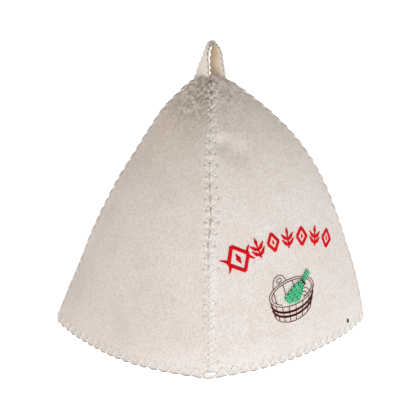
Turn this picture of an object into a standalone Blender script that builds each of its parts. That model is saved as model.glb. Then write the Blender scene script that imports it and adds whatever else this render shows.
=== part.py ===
"""A felt sauna hat: four pointed gores sewn edge to edge, and a hanging loop at the crown.

Metres, +Z up. The origin is the centre of the rim, on the surface that the hat rests on.
The gore that bears the embroidery faces -Y. The long seam runs over the crown from the
back left corner to the front right one, and the loop's two legs come out of it.
"""

import math

import bmesh
import bpy
import numpy as np
from mathutils import Matrix, Vector

MM = 0.001

# Felt and seams
FELT_THICKNESS = 2.5 * MM
GAP = 0.3 * MM

# Each seam lies in an upright plane through the axis, and goes out towards one corner of the rim.
DIAGONAL = math.sqrt(0.5)
SEAM_DIRECTIONS = {
    "front_left": Vector((-DIAGONAL, -DIAGONAL, 0)),
    "front_right": Vector((DIAGONAL, -DIAGONAL, 0)),
    "back_right": Vector((DIAGONAL, DIAGONAL, 0)),
    "back_left": Vector((-DIAGONAL, DIAGONAL, 0)),
}

# How far each seam stands from the axis at a height, in mm. The front right side is the
# fuller one, and the back left side falls away straighter.
LEVEL_COLUMNS = ("height", "front_left", "front_right", "back_right", "back_left")
LEVELS = (
    (0, 110.5, 120.8, 110.5, 120.5),
    (24, 104.5, 116.7, 105.0, 111.0),
    (48, 97.0, 110.7, 97.5, 101.0),
    (72, 89.0, 103.0, 89.5, 91.8),
    (95, 80.5, 95.2, 81.0, 81.3),
    (117, 71.0, 85.6, 71.5, 70.0),
    (137, 60.0, 74.2, 60.5, 57.6),
    (155, 48.0, 60.0, 48.5, 46.6),
    (171, 34.5, 43.6, 35.0, 36.2),
    (183, 21.0, 28.6, 21.5, 25.2),
    (191, 9.5, 15.2, 10.0, 14.8),
    (195, 0.0, 0.0, 0.0, 0.0),
)

# Each gore's two seams, the way that it faces, and how far it bows out between its seams
# at the rim and near the crown, as a share of the straight line between them.
GORE_COLUMNS = ("name", "first_seam", "second_seam", "facing", "rim_bow", "crown_bow")
GORES = (
    ("gore_front", "front_left", "front_right", (0, -1, 0), 0.098, 0.10),
    ("gore_right", "front_right", "back_right", (1, 0, 0), 0.124, 0.11),
    ("gore_back", "back_right", "back_left", (0, 1, 0), 0.094, 0.10),
    ("gore_left", "back_left", "front_left", (-1, 0, 0), 0.124, 0.10),
)
BOW_FULLNESS = 2.4

# Soft dents pressed into a gore: the place of each one's middle, from the first seam (0) to
# the second (1) and in height, its reach both ways, and its depth. A depth below zero is a
# swelling. Heights, upward reaches and depths are in mm.
DENT_COLUMNS = ("gore", "across", "height", "reach_across", "reach_up", "depth")
DENTS = (
    ("gore_front", 0.14, 141, 0.10, 7, 1.6),
    ("gore_front", 0.27, 131, 0.10, 7, 1.8),
    ("gore_front", 0.30, 172, 0.22, 8, 1.2),
    ("gore_left", 0.76, 172, 0.20, 12, 2.0),
    ("gore_left", 0.10, 62, 0.06, 45, 1.4),
    ("gore_left", 0.32, 0, 0.16, 30, 2.4),
    ("gore_left", 0.06, 0, 0.05, 25, -1.2),
)

# Dents fade out where a gore is narrower than this, towards its tip.
DENT_FADE_SPAN = 40 * MM

# Mesh of a gore, which runs past its two seams by a share of its width before it is trimmed.
COLUMNS = 20
ROWS = 16
SEAM_OVERRUN = 0.02

# A point of the grid this near to its border, as a share of its side, is on the border.
ON_BORDER = 0.001
SAME_POINT = 0.01 * MM

# The hem is a row of lobes, one to a column, with a nick between two lobes. The felt runs
# past the rest plane by its overrun before it is cut level.
LOBE_EDGES = 3
NICK_REACH = 0.1
NICK_DEPTH = 1.8 * MM
HEM_OVERRUN = 1.5 * MM

# The side of the block of space that a gore is trimmed to, larger than the hat
QUARTER_SIDE = 0.3

# The loop, from the middle of its fold down to the end of a leg inside the crown: the
# height, how far a leg stands from the loop's middle, the turn of the strip's width away
# from the long seam in the back left leg and in the front right one, in degrees, and the
# strip's width. Lengths are in mm.
LOOP_COLUMNS = ("height", "spread", "back_turn", "front_turn", "width")
LOOP_LEVELS = (
    (221.4, 0.0, 84, 84, 9.5),
    (220.8, 1.9, 84, 80, 9.7),
    (218.8, 3.2, 83, 71, 10.3),
    (215.5, 4.0, 82, 60, 11.0),
    (210.5, 4.5, 76, 54, 11.8),
    (205.3, 5.1, 66, 50, 12.2),
    (200.0, 5.9, 57, 47, 12.2),
    (195.5, 6.3, 48, 44, 12.2),
    (190.5, 6.7, 30, 28, 12.2),
    (185.5, 7.0, 12, 12, 12.2),
)
# The loop's middle stands off the axis by its shift at the legs' ends, and leans out by its
# lean more at the fold, both towards the front right seam.
LOOP_SHIFT = 0.2 * MM
LOOP_LEAN = 1.7 * MM
LOOP_THICKNESS = 2.0 * MM
LOOP_EDGE_WAVE = 0.3 * MM
# Steps from the fold to the end of a leg, and the steps at that end that pass the gores.
LOOP_STEPS = 32
LEG_STEPS = 13
SLOT_GAP = 0.4 * MM
SLOPE_REACH = 0.02
# The outline of the strip's section, in half widths and half thicknesses
SECTION_CORNERS = ((-1, -1), (0, -1), (1, -1), (1, 1), (0, 1), (-1, 1))

# Colours are linear.
CREAM_FELT = (0.72, 0.64, 0.56, 1)
SHADED_FELT = (0.66, 0.58, 0.49, 1)
FELT_ROUGHNESS = 0.95
SHARP_ANGLE = math.radians(40)


def clear_scene():
    for thing in list(bpy.data.objects):
        bpy.data.objects.remove(thing, do_unlink=True)


def smooth_row(rows, place):
    """The row at a place between two rows of a table, on a smooth curve through its rows."""
    table = np.array(rows, dtype=float)
    last = len(table) - 1
    index = min(max(int(place), 0), last - 1)
    share = place - index
    before = table[index - 1] if index > 0 else 2 * table[0] - table[1]
    here, after = table[index], table[index + 1]
    beyond = table[index + 2] if index + 2 <= last else 2 * table[last] - table[last - 1]
    start_slope = (after - before) / 2
    end_slope = (beyond - here) / 2
    bend = 2 * (here - after) + start_slope + end_slope
    turn = 3 * (after - here) - 2 * start_slope - end_slope
    return ((bend * share + turn) * share + start_slope) * share + here


def level_at(place):
    return dict(zip(LEVEL_COLUMNS, smooth_row(LEVELS, place) * MM))


def dent_depth(gore_name, across, height):
    depth = 0.0
    for row in DENTS:
        dent = dict(zip(DENT_COLUMNS, row))
        if dent["gore"] != gore_name:
            continue
        sideways = (across - dent["across"]) / dent["reach_across"]
        upwards = (height - dent["height"] * MM) / (dent["reach_up"] * MM)
        depth += dent["depth"] * MM * math.exp(-(sideways**2 + upwards**2))
    return depth


def gore_point(gore, across, place):
    """A point of a gore's outer face, from its first seam (0) to its second seam (1)."""
    level = level_at(place)
    first = SEAM_DIRECTIONS[gore["first_seam"]] * level[gore["first_seam"]]
    second = SEAM_DIRECTIONS[gore["second_seam"]] * level[gore["second_seam"]]
    share_up = place / (len(LEVELS) - 1)
    bow = gore["rim_bow"] + (gore["crown_bow"] - gore["rim_bow"]) * share_up
    span = (second - first).length
    swell = bow * span * (1 - abs(2 * across - 1) ** BOW_FULLNESS)
    swell -= dent_depth(gore["name"], across, level["height"]) * min(1, span / DENT_FADE_SPAN)
    point = first.lerp(second, across) + Vector(gore["facing"]) * swell
    point.z = level["height"]
    return point


def hem_lift(across):
    """How far the hem's edge stands above or below the rest plane, before it is cut level."""
    along = across * COLUMNS
    at_nick = abs(along - round(along)) < NICK_REACH
    return NICK_DEPTH if at_nick else -HEM_OVERRUN


def felt_material(name, colour):
    material = bpy.data.materials.new(name)
    material.use_nodes = True
    shader = material.node_tree.nodes["Principled BSDF"]
    shader.inputs["Base Color"].default_value = colour
    shader.inputs["Roughness"].default_value = FELT_ROUGHNESS
    shader.inputs["Metallic"].default_value = 0.0
    material.diffuse_color = colour
    return material


def object_from(bm, name, colour=None):
    mesh = bpy.data.meshes.new(name)
    bm.to_mesh(mesh)
    bm.free()
    thing = bpy.data.objects.new(name, mesh)
    bpy.context.scene.collection.objects.link(thing)
    if colour:
        mesh.materials.append(felt_material(name, colour))
        mesh.shade_smooth()
        mesh.set_sharp_from_angle(angle=SHARP_ANGLE)
    return thing


def as_cutter(thing):
    thing.hide_render = True
    thing.display_type = "WIRE"
    return thing


def add_boolean(thing, name, operation, cutter):
    modifier = thing.modifiers.new(name, "BOOLEAN")
    modifier.operation = operation
    modifier.solver = "MANIFOLD"
    modifier.object = cutter


def gore_quarter(gore):
    """The block of space between a gore's two seam planes and above the rest plane."""
    bm = bmesh.new()
    bmesh.ops.create_cube(bm, size=QUARTER_SIDE)
    middle = QUARTER_SIDE / 2 + GAP / 2
    bmesh.ops.translate(bm, vec=(middle, middle, QUARTER_SIDE / 2), verts=bm.verts)
    first = SEAM_DIRECTIONS[gore["first_seam"]]
    turn = math.atan2(first.y, first.x)
    bmesh.ops.rotate(bm, cent=(0, 0, 0), matrix=Matrix.Rotation(turn, 3, "Z"), verts=bm.verts)
    return as_cutter(object_from(bm, gore["name"] + "_quarter"))


def flat_gore():
    """A gore as a flat grid, one unit a side from the origin, with its hem cut finer for the lobes."""
    bm = bmesh.new()
    bmesh.ops.create_grid(bm, x_segments=COLUMNS, y_segments=ROWS, size=0.5)
    bmesh.ops.translate(bm, vec=(0.5, 0.5, 0), verts=bm.verts)
    hem = [edge for edge in bm.edges if all(vert.co.y < ON_BORDER for vert in edge.verts)]
    bmesh.ops.subdivide_edges(bm, edges=hem, cuts=LOBE_EDGES - 1)
    return bm


def build_gore(gore, leg_slots):
    bm = flat_gore()
    tip = []
    for vert in bm.verts:
        across, up, _ = vert.co
        place = up * (len(LEVELS) - 1)
        if up < ON_BORDER:
            place = hem_lift(across) / (LEVELS[1][0] * MM)
        if up > 1 - ON_BORDER:
            tip.append(vert)
        if across < ON_BORDER:
            across = -SEAM_OVERRUN
        if across > 1 - ON_BORDER:
            across = 1 + SEAM_OVERRUN
        vert.co = gore_point(gore, across, place)
    bmesh.ops.remove_doubles(bm, verts=tip, dist=SAME_POINT)
    bmesh.ops.recalc_face_normals(bm, faces=bm.faces)
    outward = sum(face.normal.dot(Vector(gore["facing"])) for face in bm.faces)
    if outward < 0:
        bmesh.ops.reverse_faces(bm, faces=bm.faces)
    thing = object_from(bm, gore["name"], CREAM_FELT)
    wall = thing.modifiers.new("felt thickness", "SOLIDIFY")
    wall.thickness = FELT_THICKNESS
    wall.offset = -1
    wall.use_even_offset = False
    add_boolean(thing, "trimmed to its seams", "INTERSECT", gore_quarter(gore))
    for slot in leg_slots:
        add_boolean(thing, slot.name, "DIFFERENCE", slot)
    return thing


def loop_middle(part):
    """Middle of the strip, and its row, from the back leg's end (negative) to the front leg's."""
    row = dict(zip(LOOP_COLUMNS, smooth_row(LOOP_LEVELS, abs(part))))
    fold_turn = math.radians(LOOP_LEVELS[0][2])
    away = SEAM_DIRECTIONS["front_right"] * math.sin(fold_turn)
    away -= SEAM_DIRECTIONS["front_left"] * math.cos(fold_turn)
    middle = away * math.copysign(row["spread"] * MM, part)
    risen = (row["height"] - LOOP_LEVELS[-1][0]) / (LOOP_LEVELS[0][0] - LOOP_LEVELS[-1][0])
    middle += SEAM_DIRECTIONS["front_right"] * (LOOP_SHIFT + LOOP_LEAN * risen**2)
    middle.z = row["height"] * MM
    return middle, row


def loop_section(step):
    """Middle, width direction, thickness direction and width of the strip at one step of it."""
    last = len(LOOP_LEVELS) - 1
    part = last * (step / LOOP_STEPS - 1)
    middle, row = loop_middle(part)
    ahead, _ = loop_middle(min(part + SLOPE_REACH, last))
    behind, _ = loop_middle(max(part - SLOPE_REACH, -last))
    along = (ahead - behind).normalized()
    turn = math.radians(row["back_turn"] if part < 0 else row["front_turn"])
    width_way = SEAM_DIRECTIONS["front_right"] * math.cos(turn)
    width_way += SEAM_DIRECTIONS["front_left"] * math.sin(turn)
    width_way = (width_way - along * width_way.dot(along)).normalized()
    return middle, width_way, along.cross(width_way), row["width"] * MM


def loop_strip(name, steps, growth=0.0, colour=None):
    """The strip of the loop over some of its steps, as a solid made larger by a growth."""
    bm = bmesh.new()
    rings = []
    for step in steps:
        middle, width_way, thick_way, width = loop_section(step)
        wave = LOOP_EDGE_WAVE if step % 2 else -LOOP_EDGE_WAVE
        half_width = width / 2 + growth + wave
        half_thick = LOOP_THICKNESS / 2 + growth
        ring = [
            bm.verts.new(middle + width_way * half_width * sideways + thick_way * half_thick * outwards)
            for sideways, outwards in SECTION_CORNERS
        ]
        rings.append([bm.edges.new((ring[i], ring[i - 1])) for i in range(len(ring))])
    for lower, upper in zip(rings, rings[1:]):
        bmesh.ops.bridge_loops(bm, edges=lower + upper)
    for end in (rings[0], rings[-1]):
        bmesh.ops.contextual_create(bm, geom=end)
    bmesh.ops.recalc_face_normals(bm, faces=bm.faces)
    return object_from(bm, name, colour)


def main():
    clear_scene()
    steps = range(2 * LOOP_STEPS + 1)
    slots = [
        as_cutter(loop_strip("slot_for_back_leg", steps[: LEG_STEPS + 1], SLOT_GAP)),
        as_cutter(loop_strip("slot_for_front_leg", steps[-LEG_STEPS - 1 :], SLOT_GAP)),
    ]
    for row in GORES:
        build_gore(dict(zip(GORE_COLUMNS, row)), slots)
    loop_strip("hanging_loop", steps, colour=SHADED_FELT)


main()
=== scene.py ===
# %% [markdown]
# # A felt sauna hat
# The hat is four pointed gores of thick wool felt, sewn edge to edge, with a scalloped hem, a
# felt loop at the crown and an embroidered front gore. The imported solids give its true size.
# This lesson dresses them: finer felt, the stitches, the embroidery, the materials and the light.

import math

import bmesh
import bpy
import numpy as np
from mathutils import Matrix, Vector


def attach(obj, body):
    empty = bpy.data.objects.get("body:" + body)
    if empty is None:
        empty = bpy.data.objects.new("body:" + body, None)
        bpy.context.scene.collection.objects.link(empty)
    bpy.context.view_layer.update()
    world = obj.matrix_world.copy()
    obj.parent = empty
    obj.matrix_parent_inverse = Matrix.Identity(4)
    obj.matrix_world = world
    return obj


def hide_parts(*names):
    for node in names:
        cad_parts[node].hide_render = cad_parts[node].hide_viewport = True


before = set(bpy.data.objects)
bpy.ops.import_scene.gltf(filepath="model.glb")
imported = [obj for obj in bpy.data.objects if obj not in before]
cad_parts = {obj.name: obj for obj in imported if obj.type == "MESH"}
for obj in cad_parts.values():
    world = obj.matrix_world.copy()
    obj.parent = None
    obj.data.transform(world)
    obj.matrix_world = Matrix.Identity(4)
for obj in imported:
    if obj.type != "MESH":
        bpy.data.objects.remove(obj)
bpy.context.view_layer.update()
MM = 0.001

# %% [markdown]
# ## Camera
# The photo looks at the hat's front left corner from a little above the rim. A long lens keeps
# the outline almost free of perspective, as in a shop's picture. The camera is placed by angles
# round a point on the hat's axis, so each angle can be read off and changed alone.

# %% Camera
CAMERA_AZIMUTH = math.radians(-45)
CAMERA_ELEVATION = math.radians(20)
CAMERA_DISTANCE = 1.3
CAMERA_AIM = Vector((0, 0, 0.090))
SENSOR_WIDTH = 36
IMAGE_SIDE = 420
FOCAL_LENGTH_IN_PIXELS = 1700


def direction(azimuth, elevation):
    """From the hat towards a place round it. Azimuth 0 is in front, 90 degrees to its right."""
    level = math.cos(elevation)
    return Vector((math.sin(azimuth) * level, -math.cos(azimuth) * level, math.sin(elevation)))


camera_data = bpy.data.cameras.new("photo camera")
camera_data.sensor_width = SENSOR_WIDTH
camera_data.lens = FOCAL_LENGTH_IN_PIXELS / IMAGE_SIDE * SENSOR_WIDTH
camera = bpy.data.objects.new("photo camera", camera_data)
back = direction(CAMERA_AZIMUTH, CAMERA_ELEVATION)
camera.location = CAMERA_AIM + back * CAMERA_DISTANCE
camera.rotation_euler = back.to_track_quat("Z", "Y").to_euler()
bpy.context.scene.collection.objects.link(camera)
bpy.context.scene.camera = camera
print("lens, mm:", round(camera_data.lens, 1))

# %% [markdown]
# ## Colours and nodes
# Colours are picked as sRGB hex codes, as a paint program shows them, but Blender's shaders work
# in linear light, so one function turns a code into linear values. One more adds a node with its
# settings and links, so that each material reads as a short recipe. A Mix node has sockets of the
# same name for numbers and for colours, so the ones for colours are picked by number.

# %% Helpers for materials
MIX_SHARE = 0
MIX_UNDER = 6
MIX_OVER = 7
MIX_RESULT = 2


def linear(code):
    """An sRGB hex colour as linear red, green, blue and alpha."""
    values = [int(code[place : place + 2], 16) / 255 for place in (0, 2, 4)]
    return [v / 12.92 if v <= 0.04045 else ((v + 0.055) / 1.055) ** 2.4 for v in values] + [1.0]


def add_node(tree, kind, inputs=None, **settings):
    """A new node. Each input takes a value, or the output socket that it is linked to."""
    node = tree.nodes.new(kind)
    for name, value in settings.items():
        setattr(node, name, value)
    for name, value in (inputs or {}).items():
        if isinstance(value, bpy.types.NodeSocket):
            tree.links.new(value, node.inputs[name])
        else:
            node.inputs[name].default_value = value
    return node


def new_material(name, finish):
    """A material with its Principled shader, whose uniform values sit on the shader's sockets."""
    material = bpy.data.materials.new(name)
    material.use_nodes = True
    shader = material.node_tree.nodes["Principled BSDF"]
    for socket, value in finish.items():
        shader.inputs[socket].default_value = value
    return material, material.node_tree, shader


print("mid grey in linear light:", round(linear("808080")[0], 3))

# %% [markdown]
# ## What the felt's colour follows
# Pressed wool felt is mottled, as its fibres lie thicker or thinner. Noise textures draw that,
# each at the size of a real thing: tufts of 1.5 mm, cloudy patches a thumb wide, and dark clumps
# of about 3 mm. Single hairs are far too thin to show at this size of picture, so they are drawn
# 0.7 mm coarse. The height and the distance from the apex lay out the crown: up it the felt is
# smoother, and painted shade makes it darker and warmer, as the crown faces up and gets less
# light. The dark clumps gather near the apex.

# %% Felt patterns
TUFT_SIZE = 1.5 * MM
FIBRE_SIZE = 0.7 * MM
CLOUD_SIZE = 18 * MM
CLUMP_SIZE = 3.1 * MM
FELT_NOISES = {
    "tufts": {"Scale": 1 / TUFT_SIZE, "Detail": 2.5, "Distortion": 0.6},
    "fibres": {"Scale": 1 / FIBRE_SIZE, "Detail": 2.0, "Distortion": 1.2},
    "clouds": {"Scale": 1 / CLOUD_SIZE, "Detail": 1.5},
    "clumps": {"Scale": 1 / CLUMP_SIZE, "Detail": 4.5, "Roughness": 0.72, "Distortion": 0.3},
}
APEX = (-0.011, -0.001, 0.188)


def felt_measures(tree):
    """Sockets that give each noise, the height, and the distance from the hat's apex."""
    place = add_node(tree, "ShaderNodeTexCoord").outputs["Object"]
    measures = {}
    for name, values in FELT_NOISES.items():
        noise = add_node(tree, "ShaderNodeTexNoise", {"Vector": place, **values})
        measures[name] = noise.outputs["Fac"]
    measures["height"] = add_node(tree, "ShaderNodeSeparateXYZ", {"Vector": place}).outputs["Z"]
    to_apex = add_node(tree, "ShaderNodeVectorMath", {0: place, 1: APEX}, operation="DISTANCE")
    measures["from_apex"] = to_apex.outputs["Value"]
    return measures


print("felt patterns:", list(FELT_NOISES))

# %% [markdown]
# ## How much each layer shows
# The felt's colour is built up in layers, as paint is, and a layer's share says how much of it
# shows at each point. A share is stretched from one of the measures above, with a soft start and
# end, up to a strength. Two layers grow up the crown, partly painted shade. The clumps show high
# on the hat, and most near the apex.

# %% Shares of the felt's layers
# The two height layers paint shade up the crown, which faces up and gets less light, over smoother felt.
SHARE_RANGES = {
    "matted_and_shaded": ("height", 100 * MM, 190 * MM),
    "tufted": ("tufts", 0.25, 0.75),
    "clouded": ("clouds", 0.42, 0.72),
    "crown_shade": ("height", 80 * MM, 200 * MM),
    "high": ("height", 105 * MM, 190 * MM),
    "near_apex": ("from_apex", 46 * MM, 0),
    "clumped": ("clumps", 0.36, 0.68),
}


def felt_shares(tree, measures, strengths):
    """Each layer's share, from 0 at the start of its range to its strength at the end."""
    shares = {}
    for name, (measure, start, end) in SHARE_RANGES.items():
        values = {"Value": measures[measure], "From Min": start, "From Max": end}
        values["To Max"] = strengths.get(name, 1)
        stretch = add_node(tree, "ShaderNodeMapRange", values, interpolation_type="SMOOTHSTEP")
        shares[name] = stretch.outputs["Result"]
    reach = add_node(
        tree, "ShaderNodeMath", {0: shares["high"], 1: shares["near_apex"]}, operation="ADD"
    ).outputs[0]
    clumped = add_node(tree, "ShaderNodeMath", {0: shares["clumped"], 1: reach}, operation="MULTIPLY")
    shares["clumped"] = clumped.outputs[0]
    return shares


print("shares:", list(SHARE_RANGES))

# %% [markdown]
# ## Wool felt
# Pressed wool scatters light like chalk. It has no gloss, so it looks soft and dry, and bumps at
# the size of its tufts and hairs roughen it. Its last three layers are painted on the mesh as
# attributes: a tan painted shade in the loop's hollow, for the shadow and bounced light between
# its legs, the pale felt that the threads rub clean beside a seam and along the hem, and the
# shade in the needle holes and beside the stitches, where the thread draws the felt in.

# %% Felt material
FELT_FINISH = {
    "Roughness": 1.0,
    "Specular IOR Level": 0.15,
    "Sheen Weight": 0.08,
    "Sheen Roughness": 0.6,
}
CLOUD_STRENGTH = 0.14
CLUMP_STRENGTH = 0.10
NEAR_APEX_STRENGTH = 0.66
# This colour covers the crown: smoother felt, and painted shade that darkens it.
MATTED_AND_SHADED_COLOUR = "DACBBA"
CLUMP_COLOUR = "5C3A1C"
HOLLOW_SHADE_SHARE = "hollow_shade_share"
PALE_SHARE = "pale_share"
STITCH_SHADE = "stitch_shade"
# The tan colour is painted shade and bounced light for the inside of the loop.
PAINTED_COLOURS = {HOLLOW_SHADE_SHARE: "D6BA92", PALE_SHARE: "FFFCFA", STITCH_SHADE: "6C6863"}
TUFT_DEPTH = 0.42 * MM
FIBRE_DEPTH = 0.12 * MM


def felt_material(name, pale, deep, warm, crown_shade_warmth, matting_and_shade):
    """Pressed wool: cream between its pale and deep colours, warmer in patches, and darker and warmer up
    the crown, partly painted shade.
    """
    material, tree, shader = new_material(name, FELT_FINISH)
    measures = felt_measures(tree)
    strengths = {
        "matted_and_shaded": matting_and_shade,
        "clouded": CLOUD_STRENGTH,
        "crown_shade": crown_shade_warmth,
        "high": CLUMP_STRENGTH * matting_and_shade,
        "near_apex": NEAR_APEX_STRENGTH * matting_and_shade,
    }
    shares = felt_shares(tree, measures, strengths)
    layers = [
        (shares["matted_and_shaded"], MATTED_AND_SHADED_COLOUR),
        (shares["tufted"], pale),
        (shares["clouded"], warm),
        (shares["crown_shade"], warm),
        (shares["clumped"], CLUMP_COLOUR),
    ]
    for attribute, code in PAINTED_COLOURS.items():
        painted = add_node(tree, "ShaderNodeAttribute", attribute_name=attribute)
        layers.append((painted.outputs["Fac"], code))
    colour = linear(deep)
    for share, code in layers:
        values = {MIX_SHARE: share, MIX_UNDER: colour, MIX_OVER: linear(code)}
        colour = add_node(tree, "ShaderNodeMix", values, data_type="RGBA").outputs[MIX_RESULT]
    tree.links.new(colour, shader.inputs["Base Color"])
    tufts = {"Height": measures["tufts"], "Distance": TUFT_DEPTH, "Strength": 1.0}
    tuft_bump = add_node(tree, "ShaderNodeBump", tufts)
    fibres = {"Height": measures["fibres"], "Distance": FIBRE_DEPTH, "Strength": 1.0}
    fibres["Normal"] = tuft_bump.outputs["Normal"]
    fibre_bump = add_node(tree, "ShaderNodeBump", fibres)
    tree.links.new(fibre_bump.outputs["Normal"], shader.inputs["Normal"])
    return material


# The gores' felt gets the painted crown shade and the clumps. The loop's felt has neither.
gore_felt = felt_material("cream wool felt", "F3EBE5", "DED2C8", "D2BDA5", 0.2, 1.0)
# Painted light: the loop's felt is paler than the gores', to make up for the dimmer light it gets at the
# crown.
loop_felt_painted_paler = felt_material("loop wool felt painted paler", "FBF3EA", "EADFD2", "E0D0BC", 0.0, 0.0)
print("felt nodes:", len(gore_felt.node_tree.nodes))

# %% [markdown]
# ## The seams
# Each gore hangs between two seams. A seam is a smooth curve in an upright plane through the
# axis, and a table gives how far it stands out at each height, in mm. The same table made the
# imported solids, so the felt made here lies where they are. Only the crown's tips stand 2.8 mm
# higher, as soft felt closes over the loop's feet. Numpy works on whole grids of points at a time.

# %% The seams
DIAGONAL = math.sqrt(0.5)
SEAM_DIRECTIONS = {
    "front_left": np.array((-DIAGONAL, -DIAGONAL, 0)),
    "front_right": np.array((DIAGONAL, -DIAGONAL, 0)),
    "back_right": np.array((DIAGONAL, DIAGONAL, 0)),
    "back_left": np.array((-DIAGONAL, DIAGONAL, 0)),
}
LEVEL_COLUMNS = ("height", "front_left", "front_right", "back_right", "back_left")
LEVELS = (
    (0, 110.5, 120.8, 110.5, 120.5),
    (24, 104.5, 116.7, 105.0, 111.0),
    (48, 97.0, 110.7, 97.5, 101.0),
    (72, 89.0, 103.0, 89.5, 91.8),
    (95, 80.5, 95.2, 81.0, 81.3),
    (117, 71.0, 85.6, 71.5, 70.0),
    (137, 60.0, 74.2, 60.5, 57.6),
    (155, 48.0, 60.0, 48.5, 46.6),
    (171, 34.5, 43.6, 35.0, 36.2),
    (183, 21.0, 28.6, 21.5, 25.2),
    (192.6, 9.5, 15.2, 10.0, 14.8),
    (197.8, 0.0, 0.0, 0.0, 0.0),
)
TOP_PLACE = len(LEVELS) - 1
FINE_PLACES = np.linspace(-0.1, TOP_PLACE, 2400)


def smooth_rows(rows, place):
    """Rows of a table at places between its rows, on a smooth curve through them."""
    table = np.array(rows, dtype=float)
    table = np.vstack([2 * table[0] - table[1], table, 2 * table[-1] - table[-2]])
    place = np.asarray(place, dtype=float)
    index = np.clip(place.astype(int), 0, len(rows) - 2)
    share = (place - index)[..., None]
    before, here, after, beyond = (table[index + step] for step in range(4))
    start_slope = (after - before) / 2
    end_slope = (beyond - here) / 2
    bend = 2 * (here - after) + start_slope + end_slope
    turn = 3 * (after - here) - 2 * start_slope - end_slope
    return ((bend * share + turn) * share + start_slope) * share + here


def levels_at(place):
    rows = smooth_rows(LEVELS, place) * MM
    return {name: rows[..., column] for column, name in enumerate(LEVEL_COLUMNS)}


def seam_point(seam, place):
    level = levels_at(place)
    point = SEAM_DIRECTIONS[seam] * level[seam][..., None]
    point[..., 2] = level["height"]
    return point


SEAM_LENGTHS = {}
for seam_name in SEAM_DIRECTIONS:
    steps = np.linalg.norm(np.diff(seam_point(seam_name, FINE_PLACES), axis=0), axis=1)
    lengths = np.concatenate([[0], np.cumsum(steps)])
    SEAM_LENGTHS[seam_name] = lengths - np.interp(0, FINE_PLACES, lengths)
print("seam lengths, mm:", {name: round(lengths[-1] / MM) for name, lengths in SEAM_LENGTHS.items()})

# %% [markdown]
# ## The felt between the seams
# Across a gore the felt bows out between its seams, by a share of the straight line between them.
# Soft felt is never quite even, so a table of dents pushes it in here and there, and a negative
# depth flares it out. A place on a gore has two numbers: how far across it is, from 0 to 1, and
# how many rows of the seams' table up.

# %% Gores without stitches
GORES = {
    "gore_front": {"seams": ("front_left", "front_right"), "facing": (0, -1, 0), "bow": (0.098, 0.10)},
    "gore_right": {"seams": ("front_right", "back_right"), "facing": (1, 0, 0), "bow": (0.124, 0.11)},
    "gore_back": {"seams": ("back_right", "back_left"), "facing": (0, 1, 0), "bow": (0.094, 0.10)},
    "gore_left": {"seams": ("back_left", "front_left"), "facing": (-1, 0, 0), "bow": (0.124, 0.10)},
}
BOW_FULLNESS = 2.4
DENT_COLUMNS = ("gore", "across", "height", "reach_across", "reach_up", "depth")
DENTS = (
    ("gore_front", 0.14, 157, 0.09, 5, 2.8),
    ("gore_front", 0.26, 150, 0.10, 7, 2.4),
    ("gore_front", 0.30, 172, 0.22, 8, 1.2),
    ("gore_left", 0.76, 172, 0.20, 12, 2.0),
    ("gore_left", 0.10, 62, 0.06, 45, 1.4),
    ("gore_left", 0.32, 0, 0.16, 30, 1.5),
    ("gore_left", 0.56, 0, 0.28, 16, -1.9),
    ("gore_front", 0.42, 0, 0.34, 16, -2.0),
    ("gore_left", 0.06, 0, 0.05, 25, -1.2),
)
DENT_FADE_SPAN = 40 * MM


def dent_depth(gore_name, across, height):
    depth = np.zeros_like(height)
    for row in DENTS:
        dent = dict(zip(DENT_COLUMNS, row))
        if dent["gore"] == gore_name:
            sideways = (across - dent["across"]) / dent["reach_across"]
            upwards = (height - dent["height"] * MM) / (dent["reach_up"] * MM)
            depth += dent["depth"] * MM * np.exp(-(sideways**2 + upwards**2))
    return depth


def span_at(gore_name, place):
    """How far apart a gore's two seams are, in a straight line."""
    first, second = (seam_point(seam, place) for seam in GORES[gore_name]["seams"])
    return np.linalg.norm(second - first, axis=-1)


def plain_gore_points(gore_name, across, place):
    """Points of a gore's outer face before any stitch draws it in."""
    gore = GORES[gore_name]
    first, second = (seam_point(seam, place) for seam in gore["seams"])
    span = np.linalg.norm(second - first, axis=-1)
    rim_bow, crown_bow = gore["bow"]
    bow = rim_bow + (crown_bow - rim_bow) * place / TOP_PLACE
    swell = bow * span * (1 - np.abs(2 * across - 1) ** BOW_FULLNESS)
    dents = dent_depth(gore_name, across, first[..., 2])
    swell = swell - dents * np.minimum(1, span / DENT_FADE_SPAN)
    return first + (second - first) * across[..., None] + np.array(gore["facing"]) * swell[..., None]


print("hem of each gore, mm:", {name: round(float(span_at(name, 0)) / MM) for name in GORES})

# %% [markdown]
# ## Seams wander
# A sewn joint never runs quite straight. A last step moves every point near a seam a little to a
# side, by a table of heights and shifts in mm, the same for all that lies on the seam: felt, holes
# and threads.

# %% Seams wander
WANDER = (
    (0, -1.5),
    (86, -1.3),
    (94, -1.5),
    (100, -0.5),
    (111, 0.6),
    (125, 0.0),
    (137, -0.5),
    (150, -0.4),
    (171, 0.0),
    (182, 1.1),
    (190, 1.4),
    (198, 0.6),
)
WANDER_REACH = 7 * MM
WANDER_START = 12 * MM


def wandered(points):
    """Points moved sideways near each seam."""
    heights, shifts = np.array(WANDER).T * MM
    shift = np.interp(points[..., 2], heights, shifts)
    moved = points.copy()
    for way in SEAM_DIRECTIONS.values():
        sideways = np.array((-way[1], way[0], 0))
        share = np.exp(-((points @ sideways / WANDER_REACH) ** 2))
        share = share * np.clip(points @ way / WANDER_START, 0, 1)
        moved += (shift * share)[..., None] * sideways
    return moved


print("widest wander, mm:", max(abs(shift) for height, shift in WANDER))

# %% [markdown]
# ## Stitches draw the felt in
# The gores meet edge to edge, and an overlock thread zigzags on both sides of each seam: from a
# point on the joint out to a needle hole, and back to the next point. At each point on the joint
# the thread nips the felt, so a seam seen from the side is a row of small lobes. The hem has the
# same zigzag. One function gives the marks of a row of stitches from two distances: how far away
# from its edge a place is, and how many stitches along it. Each stitch has its own small wobble.

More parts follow.
